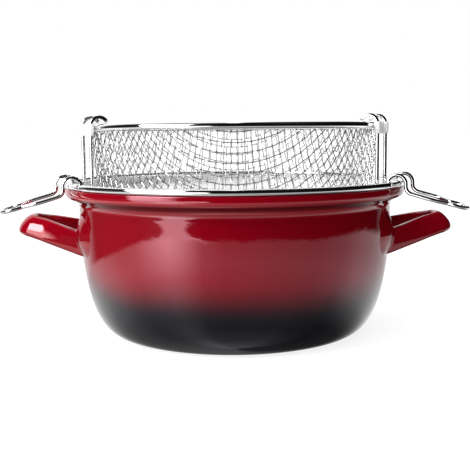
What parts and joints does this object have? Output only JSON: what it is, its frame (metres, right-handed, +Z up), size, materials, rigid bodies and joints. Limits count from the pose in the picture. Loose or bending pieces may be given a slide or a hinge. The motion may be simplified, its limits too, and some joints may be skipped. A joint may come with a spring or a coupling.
{
  "type": "deep fry pot with basket",
  "caption": "Enamelled steel deep fry pot, red fading to black, with a chromed wire basket held raised by two bent wire hangers hooked over the pot's rolled rim.",
  "frame": {"origin": "centre of the pot's flat base ring, on the surface it stands on", "axes": "+Z up along the pot's axis, +X towards the right handle, -Y towards the front, where the hangers' grips are turned"},
  "size_m": [0.362, 0.28, 0.1775],
  "materials": {
    "enamel": "gloss red vitreous enamel that fades to black towards the base",
    "handle_enamel": "gloss red vitreous enamel",
    "rim_steel": "polished stainless strip",
    "basket_wire": "bright tinned wire mesh",
    "basket_rim": "bright rolled strip",
    "hanger_wire": "bright drawn wire",
    "clip_sheet": "plain bent sheet"
  },
  "bodies": {
    "pot": {"pot_body": "enamel", "pot_rim": "rim_steel", "left_handle": "handle_enamel", "right_handle": "handle_enamel"},
    "left_hanger": {"left_hanger": "hanger_wire"},
    "right_hanger": {"right_hanger": "hanger_wire"},
    "basket": {"basket_mesh": "basket_wire", "basket_rim": "basket_rim", "left_clip": "clip_sheet", "right_clip": "clip_sheet"}
  },
  "joints": [
    {"name": "left_hanger_lift", "type": "slide", "parent": "pot", "child": "left_hanger", "axis": [0, 0, 1], "range_m": [0, 0.14]},
    {"name": "right_hanger_lift", "type": "slide", "parent": "pot", "child": "right_hanger", "axis": [0, 0, 1], "range_m": [0, 0.14]},
    {"name": "basket_slide", "type": "slide", "parent": "left_hanger", "child": "basket", "axis": [0, 0, 1], "range_m": [-0.0445, 0]}
  ],
  "couplings": [
    {"joint": "right_hanger_lift", "follows": "left_hanger_lift", "ratio": 1}
  ]
}
